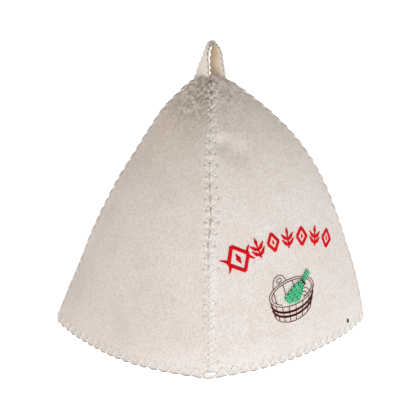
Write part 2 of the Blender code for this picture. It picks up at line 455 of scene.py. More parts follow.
# %% Marks of one row of stitches
STITCH_PITCH = 8.4 * MM
HOLE_DISTANCES = (5.4 * MM, 3.3 * MM)
HOLE_SPREAD = 0.24
HOLE_RADIUS = 0.55 * MM
HOLE_DEPTH = 1.0 * MM
ARM_SHADE = 0.05
GROOVE_DEPTH = 0.35 * MM
GROOVE_REACH = 0.75 * MM
NIP_DEPTH = 1.3 * MM
NIP_REACH = 2.6 * MM
WOBBLES_PER_ROW = 40
WOBBLE = np.random.default_rng(5).uniform(-1, 1, (len(SEAM_DIRECTIONS), 2, WOBBLES_PER_ROW))


def stitch_phase(along):
    """How far along a stitch a place is, from -0.5 to 0.5. The point on the joint is at 0."""
    return along - np.round(along)


def stitch_wobble(seam, side, along):
    """A value from -1 to 1 for the stitch at each place. No two sewn stitches are quite alike."""
    number = np.clip(np.floor(along).astype(int), 0, WOBBLES_PER_ROW - 1)
    return WOBBLE[list(SEAM_DIRECTIONS).index(seam), side, number]


def hole_distance(seam, side, along):
    """How far from the joint the needle hole of the stitch at each place is."""
    return HOLE_DISTANCES[side] * (1 + HOLE_SPREAD * stitch_wobble(seam, side, along))


def zigzag_marks(away, along, distance, pitch, hole_shade):
    """Depth and shade that one row of zigzag stitches gives the felt beside it."""
    phase = stitch_phase(along)
    from_hole = np.hypot(away - distance, (0.5 - np.abs(phase)) * pitch)
    hole = np.exp(-((from_hole / HOLE_RADIUS) ** 2))
    arm_slope = pitch / 2 / distance
    beside_arm = np.abs(np.abs(phase) * pitch - away * arm_slope) / np.hypot(1, arm_slope)
    on_arm = np.where(away < distance, np.exp(-((beside_arm / GROOVE_REACH) ** 2)), 0)
    nip = np.exp(-((away / NIP_REACH) ** 2)) * (0.5 + 0.5 * np.cos(2 * math.pi * phase)) ** 2
    depth = HOLE_DEPTH * hole + GROOVE_DEPTH * on_arm + NIP_DEPTH * nip
    return depth, hole_shade * hole + ARM_SHADE * on_arm


print("needle holes from the joint, mm:", [distance / MM for distance in HOLE_DISTANCES])

# %% [markdown]
# ## Marks along a seam
# Between two gores runs a thin dark slit. It is darkest halfway between two points where thread
# crosses it, it is dotted where wisps of wool bridge it, and some heights are drawn tighter
# than others. The two seams on the hat's outline have no height table of their own: there the
# slit is seen along the felt, with a broad soft shade. Low on the hat the thread pulls less.

# %% Marks along a seam
HOLE_SHADE = 0.5
HOLE_SHADE_SPREAD = 0.8
HOLE_SHADE_HEIGHTS = (80 * MM, 130 * MM)
HOLE_SHADE_SHARES = (0.9, 1.6)
PULL_HEIGHTS = (45 * MM, 90 * MM)
PULL_SHARES = (0.5, 1)
OUTLINE_SEAMS = ("front_right", "back_left")
SEAM_SHADE = 0.65
SEAM_SHADE_REACH = 0.8 * MM
OUTLINE_SHADE_REACH = 1.0 * MM
CROSSED_SHARE = 0.35
JOINT_DOTS = 3.7
JOINT_DOT_SHARE = 0.3
JOINT_SHADE_HEIGHTS = np.array((68, 86, 122, 134, 148, 162, 172, 186, 192)) * MM
JOINT_SHADE_SHARES = (0.4, 1.0, 1.0, 0.65, 0.1, 0.1, 0.6, 0.6, 0.2)
BROAD_SHADE = 0.2
BROAD_SHADE_REACH = 3.2 * MM
RISE_PER_PLACE = LEVELS[1][0] * MM


def joint_shade(seam, away, along, height):
    """Shade of the slit between two gores."""
    open_share = CROSSED_SHARE + (1 - CROSSED_SHARE) * np.abs(np.sin(math.pi * along))
    dots = JOINT_DOT_SHARE * np.sin(2 * math.pi * JOINT_DOTS * along)
    shade = SEAM_SHADE * open_share * (1 - JOINT_DOT_SHARE + dots)
    if seam in OUTLINE_SEAMS:
        broad = BROAD_SHADE * np.exp(-((away / BROAD_SHADE_REACH) ** 2))
        return shade * np.exp(-((away / OUTLINE_SHADE_REACH) ** 2)) + broad
    shade = shade * np.exp(-((away / SEAM_SHADE_REACH) ** 2))
    return shade * np.interp(height, JOINT_SHADE_HEIGHTS, JOINT_SHADE_SHARES)


def seam_marks(seam, side, away, place):
    """Depth and shade beside one seam of a gore."""
    height = levels_at(place)["height"]
    along = np.interp(place, FINE_PLACES, SEAM_LENGTHS[seam]) / STITCH_PITCH
    hole_shade = HOLE_SHADE * (1 + HOLE_SHADE_SPREAD * stitch_wobble(seam, 1 - side, along))
    hole_shade = hole_shade * np.interp(height, HOLE_SHADE_HEIGHTS, HOLE_SHADE_SHARES)
    distance = hole_distance(seam, side, along)
    depth, shade = zigzag_marks(away, along, distance, STITCH_PITCH, hole_shade)
    depth = depth * np.interp(place * RISE_PER_PLACE, PULL_HEIGHTS, PULL_SHARES)
    return depth, np.maximum(shade, joint_shade(seam, away, along, height))


longest = max(lengths[-1] for lengths in SEAM_LENGTHS.values())
print("stitches up the longest seam:", int(longest / STITCH_PITCH))

# %% [markdown]
# ## Marks along the hem
# The hem's thread turns under the edge between two stitches and nicks it, so the edge is a row of
# rounded lobes, one to a stitch. They are flatter near the corners, where two gores hold each
# other. Shade gathers along the edge and in the nicks.

# %% Marks along the hem
LOBES_PER_GORE = 20
LOBE_DEPTH = 1.4 * MM
LOBE_POWER = 0.7
CORNER_LOBES = 4
CORNER_LOBE_SHARE = 0.35
CORNER_DROP = 0.3 * MM
CORNER_DROP_LOBES = 1.5
HEM_HOLE_HEIGHT = 7.6 * MM
HEM_HOLE_SHADE = 0.2
HEM_PULL = 0.45
HEM_SHADE = 0.85
HEM_SHADE_REACH = 0.9 * MM
NICK_SHADE = 0.7
NICK_SHADE_REACH = 1.0 * MM


def lobes_from_corner(across):
    return np.minimum(across, 1 - across) * LOBES_PER_GORE


def hem_edge(across):
    """Height of the hem's edge above the rest plane: rounded lobes, with one round each corner."""
    lobes = LOBE_DEPTH * (1 - np.abs(np.cos(math.pi * across * LOBES_PER_GORE)) ** LOBE_POWER)
    from_corner = lobes_from_corner(across)
    lobes = lobes * np.interp(from_corner, (0, CORNER_LOBES), (CORNER_LOBE_SHARE, 1))
    return lobes + CORNER_DROP * np.clip(from_corner / CORNER_DROP_LOBES, 0, 1)


def hem_marks(across, up, span):
    """Depth and shade of the hem's stitches, edge and nicks."""
    lobe = across * LOBES_PER_GORE + 0.5
    pitch = span / LOBES_PER_GORE
    depth, shade = zigzag_marks(up, lobe, HEM_HOLE_HEIGHT, pitch, HEM_HOLE_SHADE)
    share = np.clip(2 * lobes_from_corner(across), 0, 1)
    from_edge = up - hem_edge(across)
    rim_shade = HEM_SHADE * np.exp(-((from_edge / HEM_SHADE_REACH) ** 2))
    rim_shade = rim_shade + BROAD_SHADE * np.exp(-((from_edge / BROAD_SHADE_REACH) ** 2))
    from_nick = np.hypot(stitch_phase(lobe) * pitch, from_edge)
    nick_shade = NICK_SHADE * np.exp(-((from_nick / NICK_SHADE_REACH) ** 2)) * share
    return depth * share * HEM_PULL, np.maximum.reduce((shade * share, rim_shade, nick_shade))


print("hem stitch in front, mm:", round(float(span_at("gore_front", 0)) / LOBES_PER_GORE / MM, 1))

# %% [markdown]
# ## All the marks of a gore
# At each place of a gore the deepest and the darkest mark wins, so stitches that lie near each
# other don't add up to a pit. The face rounds off into its cut edges. Near the crown's tip, where
# a gore is narrower than its stitches, all marks fade.

# %% All the marks of a gore
SURFACE_STRETCH = 1.13
EDGE_ROUNDING = 1.0 * MM
CROWDED_SPAN = 3 * HOLE_DISTANCES[0]


def edge_rounding(away):
    """How far the face drops where it rounds off into a cut edge."""
    inside = np.clip(EDGE_ROUNDING - away, 0, EDGE_ROUNDING)
    return EDGE_ROUNDING - np.sqrt(np.maximum(EDGE_ROUNDING**2 - inside**2, 0))


def stitch_marks(gore_name, across, place):
    """Depth and shade of all the stitches, and the rounding of the edges, at a gore's places."""
    span = span_at(gore_name, place) * SURFACE_STRETCH
    up = place * RISE_PER_PLACE
    depth, shade = hem_marks(across, up, span)
    rounding = edge_rounding(up - hem_edge(across))
    for side, away in enumerate((across * span, (1 - across) * span)):
        seam = GORES[gore_name]["seams"][side]
        seam_depth, seam_shade = seam_marks(seam, side, away, place)
        depth = np.maximum(depth, seam_depth)
        shade = np.maximum(shade, seam_shade)
        rounding = np.maximum(rounding, edge_rounding(away))
    crowding = np.minimum(1, span / CROWDED_SPAN)
    return depth * crowding, np.minimum(1, shade) * crowding, rounding


print("marks fade under a width, mm, of:", round(CROWDED_SPAN / MM, 1))

# %% [markdown]
# ## Rubbed felt
# The felt is a little paler in strips beside the seams and along the hem, where its threads have
# rubbed it clean. A table gives each strip's side of the gore, how far its middle is from the
# seam, half its width, and its strength at some heights, with lengths in mm.

# %% Rubbed felt
HEM_PALE_HEIGHTS = (7, 26)
HEM_PALE_SHARES = (0.24, 0)
PALE_COLUMNS = ("side", "middle", "half_width", "heights", "shares")
PALE_STRIPS = (
    (0, 3.4, 2.2, (76, 86), (0.22, 0)),
    (0, 0.0, 11.0, (112, 128, 196), (0, 0.12, 0.15)),
    (1, 0.0, 7.0, (116, 130, 164, 174), (0, 0.12, 0.12, 0)),
)


def pale_strip(gore_name, across, place):
    """How much paler the felt is where threads have rubbed it clean."""
    span = span_at(gore_name, place) * SURFACE_STRETCH
    height = levels_at(place)["height"] / MM
    pale = np.interp(height, HEM_PALE_HEIGHTS, HEM_PALE_SHARES)
    for row in PALE_STRIPS:
        strip = dict(zip(PALE_COLUMNS, row))
        away = (1 - across if strip["side"] else across) * span / MM
        beside = np.exp(-(((away - strip["middle"]) / strip["half_width"]) ** 4))
        pale = np.maximum(pale, beside * np.interp(height, strip["heights"], strip["shares"]))
    return pale


print("rubbed strips:", len(PALE_STRIPS))

# %% [markdown]
# ## Points on the stitched felt
# All that lies on the hat, felt and threads alike, is placed by one function: a place on the
# gore, pulled in by its stitches or lifted off them, and then moved with the wandering seam.

# %% Points on the stitched felt
NORMAL_STEP = 1e-3


def outward_normals(gore_name, across, place):
    """The way out of the felt, square to a short step across the gore and one up it."""
    moves = (NORMAL_STEP, -NORMAL_STEP)
    right, left = (plain_gore_points(gore_name, across + move, place) for move in moves)
    above, below = (plain_gore_points(gore_name, across, place + move) for move in moves)
    normals = np.cross(right - left, above - below)
    return normals / np.linalg.norm(normals, axis=-1)[..., None]


def felt_points(gore_name, across, place, lift=0.0):
    """Points on a gore's stitched outer face, or a lift above it."""
    across = np.asarray(across, dtype=float)
    place = np.asarray(place, dtype=float)
    depth, _, _ = stitch_marks(gore_name, across, place)
    normals = outward_normals(gore_name, across, place)
    points = plain_gore_points(gore_name, across, place)
    return wandered(points + normals * (lift - depth)[..., None])


middle_of_front = felt_points("gore_front", 0.5, 0)
print("middle of the front hem, mm:", [round(value / MM, 1) for value in middle_of_front])

# %% [markdown]
# ## Two sides of a gore
# The felt is laid on a grid of places. Its columns crowd towards the two seams, where the
# stitches are, and its rows towards the hem. The inner side lies a felt's thickness in, and a
# stitch's pull shows less there. Where a side would run through the seam's plane it is held back,
# so two gores butt together and never cross, and no point goes under the rest plane.

# %% Lay a gore
FELT_THICKNESS = 2.5 * MM
INNER_DEPTH_SHARE = 0.3
SEAM_GAP = 0.16 * MM
EDGE_STEPS = np.array((0, 0.3, 0.65, 1.1, 1.7, 2.4, 3.2, 4.0, 4.7, 5.2, 5.7, 6.4, 7.4, 8.8)) * MM
# The most of a gore's width that the close columns of one side take
EDGE_STEPS_MOST = 0.36
LOBE_STEPS = (-0.28, -0.1, 0, 0.1, 0.28, 0.5)
ROW_STEP = 0.9 * MM
HEM_STEPS = np.array((0, 0.25, 0.55, 0.95, 1.5, 2.2)) * MM
LAST_PLACE = TOP_PLACE - 0.05
HEM_WARP_REACH = 8 * MM
# How far across a gore the close columns of one side reach at the hem, where the lobes are
HEM_NEAR = 0.037


def column_places(span):
    """Places across a gore for one row: close by each seam, and evenly spread between."""
    scale = min(1.0, EDGE_STEPS_MOST * span / EDGE_STEPS[-1])
    near = EDGE_STEPS * scale / span
    nicks = np.arange(1, LOBES_PER_GORE - 1) + 0.5
    lobes = (nicks[:, None] + LOBE_STEPS).ravel()[:-1] / LOBES_PER_GORE
    middle = near[-1] + (1 - 2 * near[-1]) * (lobes - HEM_NEAR) / (1 - 2 * HEM_NEAR)
    return np.concatenate([near, middle, 1 - near[::-1]])


def row_places(seam):
    """Places up a gore: close by the hem, then a step apart along its seam."""
    top_length = np.interp(LAST_PLACE, FINE_PLACES, SEAM_LENGTHS[seam])
    count = round((top_length - HEM_STEPS[-1]) / ROW_STEP)
    lengths = np.concatenate([HEM_STEPS[:-1], np.linspace(HEM_STEPS[-1], top_length, count)])
    return np.interp(lengths, SEAM_LENGTHS[seam], FINE_PLACES)


def lay_gore(gore_name):
    """Outer and inner points, shades and pale shares of a gore, each a grid of rows and columns."""
    rows = row_places(GORES[gore_name]["seams"][0])
    spans = span_at(gore_name, rows) * SURFACE_STRETCH
    across = np.array([column_places(span) for span in spans])
    place = np.repeat(rows[:, None], across.shape[1], axis=1)
    warp = np.clip(1 - place * RISE_PER_PLACE / HEM_WARP_REACH, 0, 1)
    place = place + warp * hem_edge(across) / RISE_PER_PLACE
    depth, shade, rounding = stitch_marks(gore_name, across, place)
    normals = outward_normals(gore_name, across, place)
    plain = plain_gore_points(gore_name, across, place)
    outer = plain - normals * (depth + rounding)[..., None]
    inner = plain - normals * (FELT_THICKNESS - rounding - INNER_DEPTH_SHARE * depth)[..., None]
    for seam, sign in zip(GORES[gore_name]["seams"], (1, -1)):
        way = SEAM_DIRECTIONS[seam]
        plane = np.array((-way[1], way[0], 0)) * sign
        for points in (outer, inner):
            short = SEAM_GAP / 2 - points @ plane
            points += np.maximum(short, 0)[..., None] * plane
            points[..., 2] = np.maximum(points[..., 2], 0)
    return wandered(outer), wandered(inner), shade, pale_strip(gore_name, across, place)


print("rows up the front gore:", len(row_places("front_left")))

# %% [markdown]
# ## Build the gores
# A gore starts as a flat grid from one operator. Extruding all its faces at once gives the felt
# its second side and its cut edges, and each corner remembers its row and column in a layer, so
# both sides can then be laid on the hat. Layers for the shade and the pale share travel with the
# mesh, where the felt's material reads them.

# %% Build the gores
INNER_SHADE = 0.35


def finish_piece(piece, material):
    """Gives a piece its material, and makes it ride on the hat."""
    piece.data.materials.clear()
    piece.data.materials.append(material)
    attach(piece, "root")
    return piece


def mesh_object(bm, name):
    mesh = bpy.data.meshes.new(name)
    bm.to_mesh(mesh)
    bm.free()
    mesh.shade_smooth()
    piece = bpy.data.objects.new(name, mesh)
    bpy.context.scene.collection.objects.link(piece)
    return piece


def triangle_count(piece):
    piece.data.calc_loop_triangles()
    return len(piece.data.loop_triangles)


def build_gore(gore_name):
    outer, inner, shade, pale = lay_gore(gore_name)
    rows, columns = shade.shape
    bm = bmesh.new()
    row_of = bm.verts.layers.int.new("row")
    column_of = bm.verts.layers.int.new("column")
    shade_of = bm.verts.layers.float.new(STITCH_SHADE)
    pale_of = bm.verts.layers.float.new(PALE_SHARE)
    bmesh.ops.create_grid(bm, x_segments=columns - 1, y_segments=rows - 1, size=0.5)
    for vert in bm.verts:
        vert[column_of] = round((vert.co.x + 0.5) * (columns - 1))
        vert[row_of] = round((vert.co.y + 0.5) * (rows - 1))
        vert[shade_of] = shade[vert[row_of], vert[column_of]]
        vert[pale_of] = pale[vert[row_of], vert[column_of]]
    second_side = bmesh.ops.extrude_face_region(bm, geom=bm.faces[:], use_keep_orig=True)
    inside = {part for part in second_side["geom"] if isinstance(part, bmesh.types.BMVert)}
    for vert in bm.verts:
        grid = inner if vert in inside else outer
        vert.co = grid[vert[row_of], vert[column_of]]
        if vert in inside:
            vert[shade_of] *= INNER_SHADE
    bmesh.ops.recalc_face_normals(bm, faces=bm.faces)
    piece = mesh_object(bm, gore_name + "_felt")
    finish_piece(piece, gore_felt)
    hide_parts(gore_name)
    return piece


for gore_name in GORES:
    piece = build_gore(gore_name)
    print(piece.name, "triangles:", triangle_count(piece))

# %% [markdown]
# ## The loop's path
# The loop is one strip of thinner felt folded over, and its two legs go down into the crown beside
# the long seam. A table gives, from the fold down, the strip's height, how far a leg stands from
# the middle, how each leg's width is turned, in degrees, and how wide the strip is. A part of the
# loop is a row number, negative on the back leg.

# %% The loop's path
LOOP_COLUMNS = ("height", "spread", "back_turn", "front_turn", "width")
LOOP_LEVELS = (
    (221.4, 0.0, 84, 84, 9.5),
    (220.8, 1.9, 84, 80, 9.7),
    (218.8, 3.2, 83, 71, 10.3),
    (215.5, 4.0, 82, 60, 11.0),
    (210.5, 4.5, 76, 54, 11.8),
    (205.3, 5.1, 66, 50, 12.2),
    (200.0, 5.9, 57, 47, 12.2),
    (195.5, 6.3, 48, 44, 12.2),
    (190.5, 6.7, 30, 28, 12.2),
    (185.5, 7.0, 12, 12, 12.2),
)
LOOP_END = len(LOOP_LEVELS) - 1
LOOP_SHIFT = 0.2 * MM
LOOP_LEAN = 1.7 * MM
SLOPE_REACH = 0.02
FRONT_RIGHT = Vector(SEAM_DIRECTIONS["front_right"])
FRONT_LEFT = Vector(SEAM_DIRECTIONS["front_left"])


def loop_middle(part):
    """Middle of the strip, and its row, from the back leg's end (negative) to the front leg's."""
    row = dict(zip(LOOP_COLUMNS, smooth_rows(LOOP_LEVELS, abs(part))))
    fold_turn = math.radians(LOOP_LEVELS[0][2])
    away = FRONT_RIGHT * math.sin(fold_turn) - FRONT_LEFT * math.cos(fold_turn)
    middle = away * math.copysign(row["spread"] * MM, part)
    risen = (row["height"] - LOOP_LEVELS[-1][0]) / (LOOP_LEVELS[0][0] - LOOP_LEVELS[-1][0])
    middle += FRONT_RIGHT * (LOOP_SHIFT + LOOP_LEAN * risen**2)
    middle.z = row["height"] * MM
    return middle, row


def loop_section(part):
    """Middle, width direction, thickness direction and width of the strip at one part of it."""
    middle, row = loop_middle(part)
    ahead, _ = loop_middle(min(part + SLOPE_REACH, LOOP_END))
    behind, _ = loop_middle(max(part - SLOPE_REACH, -LOOP_END))
    along = (ahead - behind).normalized()
    turn = math.radians(row["back_turn"] if part < 0 else row["front_turn"])
    width_way = FRONT_RIGHT * math.cos(turn) + FRONT_LEFT * math.sin(turn)
    width_way = (width_way - along * width_way.dot(along)).normalized()
    return middle, width_way, along.cross(width_way), row["width"] * MM


print("top of the loop's middle, mm:", round(loop_middle(0)[0].z / MM, 1))

# %% [markdown]
# ## Build the loop
# Rings of the strip's section are placed along the path and bridged, so the strip can turn and
# narrow as it goes. Its overlocked edges go in at each stitch and are shaded there. Below the
# fold it is a little wider, and its feet lean back into the crown. Its hollow side gets a tan
# painted shade, darkest by the slit, for the shadow and warm light that its legs cast on each other.

# %% Build the loop
LOOP_THICKNESS = 2.0 * MM
LOOP_STEPS = 150
LOOP_LEG_LENGTH = 38 * MM
LOOP_STITCH_PITCH = 4.2 * MM
LOOP_WAVE = 1.4 * MM
LOOP_WAVE_OUT = 0.85
LOOP_EXTRA_WIDTH = 2.0 * MM
LOOP_EXTRA_START = 187 * MM
LOOP_EXTRA_REACH = 9 * MM
LOOP_FOLD_PARTS = 2
LOOP_FOOT_TOP = 210 * MM
LOOP_FOOT_REACH = 14 * MM
LOOP_FOOT_SHIFT = 4 * MM
LOOP_HOLLOW_HEIGHT = 214 * MM
LOOP_EDGE_START = 0.8
LOOP_EDGE_SHADE = 0.372
LOOP_NICK_SHADE = 0.496
HOLLOW_SHADE_LEAST = 0.05
HOLLOW_SHADE_FALL = 1.7
SECTION_POINTS = 20
SECTION_SQUARENESS = 0.55


def held(share):
    """A share held between 0 and 1."""
    return min(1, max(0, share))


def rounded_section(half_width, half_thick):
    """Points round a flat strip's section with soft corners, as sideways and outward distances."""
    points = []
    for step in range(SECTION_POINTS):
        turn = 2 * math.pi * step / SECTION_POINTS
        sideways = math.copysign(abs(math.cos(turn)) ** SECTION_SQUARENESS, math.cos(turn))
        outwards = math.copysign(abs(math.sin(turn)) ** SECTION_SQUARENESS, math.sin(turn))
        points.append((sideways * half_width, outwards * half_thick))
    return points


def build_loop():
    bm = bmesh.new()
    shade_of = bm.verts.layers.float.new(STITCH_SHADE)
    hollow_shade_of = bm.verts.layers.float.new(HOLLOW_SHADE_SHARE)
    rings = []
    for step in range(2 * LOOP_STEPS + 1):
        part = LOOP_END * (step / LOOP_STEPS - 1)
        middle, width_way, thick_way, width = loop_section(part)
        travelled = abs(step / LOOP_STEPS - 1) * LOOP_LEG_LENGTH
        nick = 1 - abs(math.sin(math.pi * travelled / LOOP_STITCH_PITCH))
        extra = LOOP_EXTRA_WIDTH * held((middle.z - LOOP_EXTRA_START) / LOOP_EXTRA_REACH)
        extra *= held(abs(part) / LOOP_FOLD_PARTS)
        middle -= width_way * math.copysign(extra / 2, part)
        middle -= FRONT_LEFT * LOOP_FOOT_SHIFT * held((LOOP_FOOT_TOP - middle.z) / LOOP_FOOT_REACH)
        half_width = width / 2 + extra / 2 + LOOP_WAVE * (LOOP_WAVE_OUT - nick)
        hollow, _ = loop_middle(0)
        hollow.z = min(middle.z, LOOP_HOLLOW_HEIGHT)
        inwards = math.copysign(1, thick_way.dot(hollow - middle))
        ring = []
        for sideways, outwards in rounded_section(half_width, LOOP_THICKNESS / 2):
            vert = bm.verts.new(middle + width_way * sideways + thick_way * outwards)
            edge_share = held(abs(sideways) / half_width - LOOP_EDGE_START) / (1 - LOOP_EDGE_START)
            vert[shade_of] = edge_share * (LOOP_EDGE_SHADE + LOOP_NICK_SHADE * nick)
            # Painted shade: the hollow side turns tan, most towards the slit between the legs.
            inner_side = held(0.5 + outwards * inwards / LOOP_THICKNESS * 2)
            by_slit = 0.5 - 0.5 * math.copysign(sideways / half_width, sideways * part)
            vert[hollow_shade_of] = inner_side * (HOLLOW_SHADE_LEAST + (1 - HOLLOW_SHADE_LEAST) * by_slit**HOLLOW_SHADE_FALL)
            ring.append(vert)
        rings.append([bm.edges.new((ring[i], ring[i - 1])) for i in range(len(ring))])
    for lower, upper in zip(rings, rings[1:]):
        bmesh.ops.bridge_loops(bm, edges=lower + upper)
    for end in (rings[0], rings[-1]):
        bmesh.ops.contextual_create(bm, geom=end)
    bmesh.ops.recalc_face_normals(bm, faces=bm.faces)
    return mesh_object(bm, "loop_strip")


loop = finish_piece(build_loop(), loop_felt_painted_paler)
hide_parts("hanging_loop")
print(loop.name, "triangles:", triangle_count(loop))

# %% [markdown]
# ## Sewing thread
# The seams are sewn with spun polyester thread, a little paler than the felt, with a soft gloss.
# It is drawn about 0.64 mm thick, a little more than real sewing thread, and its twist has turns
# of 0.9 mm, since finer ones wouldn't show. A thread is a curve with a round bevel: only its path
# is worked out, and Blender skins it.

# %% Thread material and helper
THREAD_RADIUS = 0.32 * MM
THREAD_SPECULAR = 0.15
TWIST_SIZE = 0.9 * MM
TWIST_DEPTH = 0.1 * MM
TWIST_RANGE = {"From Min": 0.3, "From Max": 0.7}


def thread_material(name, code, deep_code, roughness):
    """Twisted thread: fine light and dark turns along it, and a soft gloss."""
    finish = {"Roughness": roughness, "Specular IOR Level": THREAD_SPECULAR}
    material, tree, shader = new_material(name, finish)
    place = add_node(tree, "ShaderNodeTexCoord").outputs["Object"]
    noise = {"Vector": place, "Scale": 1 / TWIST_SIZE, "Detail": 2.0}
    turns = add_node(tree, "ShaderNodeTexNoise", noise).outputs["Fac"]
    stretch = {"Value": turns, **TWIST_RANGE}
    share = add_node(tree, "ShaderNodeMapRange", stretch, interpolation_type="SMOOTHSTEP").outputs["Result"]
    blend = {MIX_SHARE: share, MIX_UNDER: linear(deep_code), MIX_OVER: linear(code)}
    colour = add_node(tree, "ShaderNodeMix", blend, data_type="RGBA").outputs[MIX_RESULT]
    tree.links.new(colour, shader.inputs["Base Color"])
    bump = add_node(tree, "ShaderNodeBump", {"Height": turns, "Distance": TWIST_DEPTH, "Strength": 0.6})
    tree.links.new(bump.outputs["Normal"], shader.inputs["Normal"])
    return material


def thread_piece(name, paths, radius, sides_level, material):
    """Threads along paths of points, joined in one mesh."""
    curve = bpy.data.curves.new(name, "CURVE")
    curve.dimensions = "3D"
    curve.bevel_depth = radius
    curve.bevel_resolution = sides_level
    curve.use_fill_caps = True
    for path in paths:
        spline = curve.splines.new("POLY")
        spline.points.add(len(path) - 1)
        for point, place in zip(spline.points, path):
            point.co = (*place, 1)
    holder = bpy.data.objects.new(name + "_path", curve)
    bpy.context.scene.collection.objects.link(holder)
    bpy.context.view_layer.update()
    mesh = bpy.data.meshes.new_from_object(holder.evaluated_get(bpy.context.evaluated_depsgraph_get()))
    bpy.data.objects.remove(holder, do_unlink=True)
    mesh.name = name
    mesh.shade_smooth()
    piece = bpy.data.objects.new(name, mesh)
    bpy.context.scene.collection.objects.link(piece)
    finish_piece(piece, material)
    print(name, "threads:", len(paths), "triangles:", triangle_count(piece))


seam_thread = thread_material("spun polyester thread", "FFFBF6", "F0E9E1", 0.7)
print("thread, mm thick:", 2 * THREAD_RADIUS / MM)

# %% [markdown]
# ## Seam stitches
# The zigzag on each side of a seam is one thread that dips into each needle hole and climbs back
# to the joint, outside and inside the hat. Each arm arches a little off the felt. Near the crown
# the arms shorten with the gore.

# %% Sew the seams
POINTS_PER_ARM = 7
THREAD_LIFT = 0.16 * MM
SEAM_ARCH = 0.18 * MM
HOLE_SINK = 0.9 * MM
IN_HOLE = 0.95
LONGEST_ARM = 0.45
SEAM_TOP_MARGIN = 9 * MM


def seam_row(gore_name, side, inside):
    """The zigzag along one edge of a gore, on its outer or its inner face."""
    seam = GORES[gore_name]["seams"][side]
    stitch_count = int((SEAM_LENGTHS[seam][-1] - SEAM_TOP_MARGIN) / STITCH_PITCH)
    path = []
    for step in range((stitch_count - 1) * 2 * POINTS_PER_ARM + 1):
        along = step / (2 * POINTS_PER_ARM) + 1
        out = 1 - abs(2 * (along % 1) - 1)
        place = np.interp(along * STITCH_PITCH, SEAM_LENGTHS[seam], FINE_PLACES)
        span = float(span_at(gore_name, place)) * SURFACE_STRETCH
        reach = float(hole_distance(seam, side, np.array(along)))
        away = out * min(reach, LONGEST_ARM * span) / span
        lift = THREAD_LIFT + SEAM_ARCH * math.sin(math.pi * out)
        if out > IN_HOLE:
            lift = -HOLE_SINK
        if inside:
            lift = -FELT_THICKNESS - lift
        path.append(felt_points(gore_name, 1 - away if side else away, place, lift))
    return path


rows = [seam_row(name, side, inside) for name in GORES for side in (0, 1) for inside in (False, True)]
thread_piece("seam_stitches", rows, THREAD_RADIUS, 1, seam_thread)

# %% [markdown]
# ## Hem stitches
# The hem's thread is a little finer. It zigzags from a nick in the edge up to a needle hole and
# down to the next nick, on both faces, and one short turn of thread wraps the edge at each nick.
# No thread goes under the plane that the hat rests on.

# %% Sew the hem
HEM_THREAD_RADIUS = 0.28 * MM
HEM_ARCH = 0.35 * MM
HEM_NICK_LIFT = 0.2 * MM
HEM_NICK_SINK = 0.5 * MM
AT_NICK = 0.05
HEM_WRAP_LIFTS = (0.2, 0.15, -0.5, -1.3, -2.0, -2.7, -2.7)
HEM_WRAP_HEIGHTS = (1.3, 0.7, -0.1, -0.3, -0.1, 0.7, 1.3)


def hem_point(gore_name, across, height, lift):
    """A point of the hem's thread, held over the rest plane."""
    point = felt_points(gore_name, across, height / RISE_PER_PLACE, lift)
    point[2] = max(point[2], HEM_THREAD_RADIUS)
    return point


def hem_row(gore_name, inside):
    """The zigzag along a gore's hem, on its outer or its inner face."""
    path = []
    for step in range((LOBES_PER_GORE - 1) * 2 * POINTS_PER_ARM + 1):
        along = step / (2 * POINTS_PER_ARM)
        up = 1 - abs(2 * (along % 1) - 1)
        nick_height = float(hem_edge((round(along) + 0.5) / LOBES_PER_GORE)) + HEM_NICK_LIFT
        height = nick_height + up * (HEM_HOLE_HEIGHT - nick_height)
        lift = THREAD_LIFT + HEM_ARCH * math.sin(math.pi * up)
        if up > IN_HOLE:
            lift = -HOLE_SINK
        if up < AT_NICK:
            lift = -HEM_NICK_SINK
        if inside:
            lift = -FELT_THICKNESS - lift
        path.append(hem_point(gore_name, (along + 0.5) / LOBES_PER_GORE, height, lift))
    return path


def hem_wrap(gore_name, lobe):
    """One turn of thread under the edge at a nick."""
    across = (lobe + 0.5) / LOBES_PER_GORE
    edge = float(hem_edge(across))
    steps = zip(HEM_WRAP_LIFTS, HEM_WRAP_HEIGHTS)
    return [hem_point(gore_name, across, edge + up * MM, lift * MM) for lift, up in steps]


rows = [hem_row(name, inside) for name in GORES for inside in (False, True)]
rows += [hem_wrap(name, lobe) for name in GORES for lobe in range(LOBES_PER_GORE)]
hem_thread = thread_material("cream polyester thread", "FFFDFA", "F6F1EA", 0.7)
thread_piece("hem_stitches", rows, HEM_THREAD_RADIUS, 1, hem_thread)

# %% [markdown]
# ## Threads across a joint
# Where two zigzags meet on a joint, a short knot ties them. High on the hat, where the stitches
# look crowded, three lie close together. A bar tack of four whiter threads holds the front left
# corner of the rim. Each thread goes over the joint and dips into the felt at its ends.

# %% Knots and bar tack
KNOT_SPAN = (-1.5 * MM, 1.5 * MM)
KNOT_OFFSETS = (-0.9 * MM, 0, 0.9 * MM)
KNOT_LIFT = 0.35 * MM
CLOSE_KNOTS_START = 0.66
BAR_SEAM = "front_left"
BAR_SPAN = (-2.4 * MM, 5.0 * MM)
BAR_HEIGHTS = (3.6, 4.1, 4.6, 5.1)
BAR_LIFT = 0.3 * MM
CROSS_STEPS = 9
CROSS_SINK = 0.7 * MM


def over_joint(seam, length, offsets, lift):
    """A short thread straight over a seam, at a length along it from the hem."""
    place = np.interp(length, SEAM_LENGTHS[seam], FINE_PLACES)
    path = []
    for offset in np.linspace(*offsets, CROSS_STEPS):
        side = 1 if offset < 0 else 0
        gore_name = next(name for name in GORES if GORES[name]["seams"][side] == seam)
        away = abs(offset) / (float(span_at(gore_name, place)) * SURFACE_STRETCH)
        sink = CROSS_SINK if offset in offsets else 0
        path.append(felt_points(gore_name, 1 - away if side else away, place, lift - sink))
    return path


